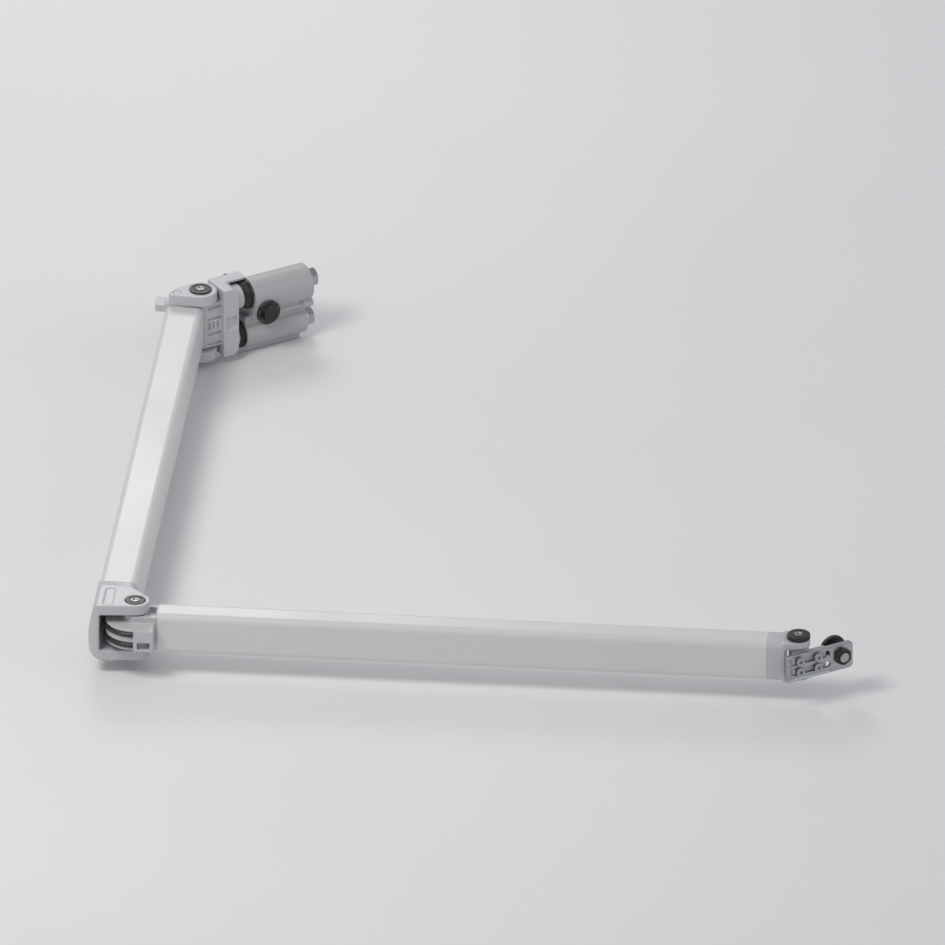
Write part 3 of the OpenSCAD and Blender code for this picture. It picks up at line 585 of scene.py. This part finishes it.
# %% The bolts that hold the bracket and the block
low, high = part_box("mounting_bolt")
seat = -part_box("mounting_washer")[0].y
hex_bolt("mounting_bolt_turned", "mounting_bolt", (low.x / 2 + high.x / 2, 0, low.z / 2 + high.z / 2),
         (0, -1, 0), "black_steel", (-high.y, -0.6 * mm, 6 * mm), (-0.4 * mm, 5.7 * mm),
         (seat, -low.y - seat), 19 * mm, 6.8 * mm)
block_bolt_r, thread_end, head_t = 7 * mm, 75 * mm, 9 * mm
for label, y, z, start, seat in (("upper", 0, 23, 41, 148.5), ("lower", 4, -30, 38, 145.5)):
    hex_bolt("block_bolt_" + label, "block_bolts", shoulder + mm * Vector((0, y, z)), (1, 0, 0),
             "bolt_steel", (start * mm, thread_end, block_bolt_r), (thread_end, block_bolt_r),
             (seat * mm, head_t), 21 * mm)

# %% [markdown]
# ## Hinge pins
# Each pin is bright ground steel. Under its head sits a black collar, which is painted shade: its dark
# colour stands in for the shade round the pin head. Pin and collar are two turned parts, and each takes its
# own finish.
# The dimple on top is where the lathe's centre held the pin, and the groove low down holds its clip.

# %% Hinge pins
pin_r, groove_t, groove_depth, pin_tail, step_r = 6 * mm, 1.3 * mm, 0.7 * mm, 3 * mm, 5.5 * mm


def hinge_pin(name, place, head_r, head_t, body):
    low, high = (corner.z - place.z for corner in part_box(name))
    seat = high - head_t
    groove = low + pin_tail
    rings = rounded_rings(low, seat - 1 * mm, pin_r, 1 * mm)[:5]
    rings += [(groove, plain(pin_r)), (groove, plain(pin_r - groove_depth))]
    rings += [(groove + groove_t, plain(pin_r - groove_depth)), (groove + groove_t, plain(pin_r))]
    rings += [(seat, plain(pin_r)), (seat + 0.1 * mm, plain(step_r))]
    rings += rounded_rings(seat + 0.5 * mm, high, step_r, 0.3 * mm)[5:] + dimple(high, 3.7 * mm, 1.2 * mm)
    pin = turned_part(name + "_turned", place, up, rings, body, "pin_steel")
    # The collar's black is painted shade: a dark ring under the head that stands in for the shade round it.
    shade_ring_profile = rounded_rings(seat, high - 0.0004, head_r, 0.0009)
    shade_ring_profile += [(high - 0.0004, plain(head_r * 0.74)), (high - 0.0008, plain(head_r * 0.72)),
               (high - 0.0008, plain(0.0062)), (high - 0.0016, plain(0.0056))]
    shade_ring = turned_part(name + "_shade_ring", place, up, shade_ring_profile, body, "black_steel")
    for made in (pin, shade_ring):
        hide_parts(name)
    print(name, "head", round(head_r * 2000, 1), "mm across")


# The wrist collar is as wide as its lug and 6 mm tall, so its black paints shade over the lug's side.
for name, place, head_r, head_t in (("shoulder_pin", shoulder, 13.5 * mm, 2.6 * mm),
                                    ("elbow_pin", elbow, 12.2 * mm, 2.4 * mm),
                                    ("wrist_pin", wrist, 14 * mm, 6 * mm)):
    hinge_pin(name, place, head_r, head_t, body_of_node(name))

# %% [markdown]
# ## The rail clamp
# A bolt runs through the slotted plate. Behind the plate it carries a black lock disc, which grips
# the lips of a rail, and in front a nut draws it tight. All three are lathe work round one axis, so
# they share one list of places along the bolt, measured forward from the wrist's centre.

# %% Places along the clamp bolt
clamp = wrist + mm * Vector((48.6, 0, -2))
toward_front = (0, -1, 0)
head_back, disc_back, disc_front = -9.3 * mm, -5.3 * mm, -0.3 * mm
plate_back, plate_front, nut_front, bolt_front = 14.7 * mm, 19.7 * mm, 25.7 * mm, 27.2 * mm
rail_bolt_r, rail_head_r, disc_r, sleeve_r, nut_across = 6 * mm, 10 * mm, 17 * mm, 8.5 * mm, 19 * mm
print("clamp bolt", round((bolt_front - head_back) / mm, 1), "mm long")

# %% Bolt, disc and nut
def clamp_part(cad, rings, slot):
    made = turned_part(cad + "_turned", clamp, toward_front, rings, "front_bracket", slot)
    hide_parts(cad)
    print(made.name, len(made.data.polygons), "faces")


rings = [(head_back + 2 * mm, plain(3.5 * mm)), (head_back, plain(3.9 * mm))]
rings += rounded_rings(head_back, disc_back, rail_head_r)
rings += [(disc_back, plain(rail_bolt_r)), (plate_back - 0.1 * mm, plain(rail_bolt_r))]
rings += thread_rings(plate_back, bolt_front - 0.6 * mm, rail_bolt_r)
rings += [(bolt_front, plain(rail_bolt_r - 1 * mm))]
clamp_part("rail_bolt", rings, "bolt_steel")
rings = rounded_rings(disc_back, disc_front, disc_r, 1.3 * mm)
rings += [(disc_front, plain(sleeve_r)), (plate_back, plain(sleeve_r))]
clamp_part("rail_disc", rings, "black_steel")
rings = hex_rings(plate_front, nut_front, nut_across, both=True)
rings += [(nut_front, plain(7 * mm)), (nut_front - 0.5 * mm, plain(6.2 * mm))]
clamp_part("rail_nut", rings, "black_steel")

# %% [markdown]
# ## Socket screws
# Four cap screws sit in the plate's two slots, so a fitter can shift the plate before tightening
# them. The hexagon in each head is one more ring, as far out as its flats allow, pushed down.

# %% Socket screws that hold the slotted plate to its eye
screw_r, screw_head_r, screw_tip, socket = 3 * mm, 5.5 * mm, 9.7 * mm, flats(4.6 * mm)
head_low, head_top, socket_floor = 18.7 * mm, 22 * mm, 20.2 * mm
for x in (-9.5, 15.5):
    for z in (4.5, -9):
        place = wrist + mm * Vector((x, 0, z))
        rings = [(screw_tip, plain(screw_r)), (head_low, plain(screw_r))]
        rings += rounded_rings(head_low, head_top, screw_head_r, 0.6 * mm)
        rings += [(head_top, cut_by(socket, 2.8 * mm)), (socket_floor, cut_by(socket, 2.8 * mm))]
        screw = turned_part("plate_screw_%d_%d" % (x, z), place, toward_front, rings, "front_bracket",
                            "bolt_steel", 48)
        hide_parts("plate_screws")
print("four socket screws")
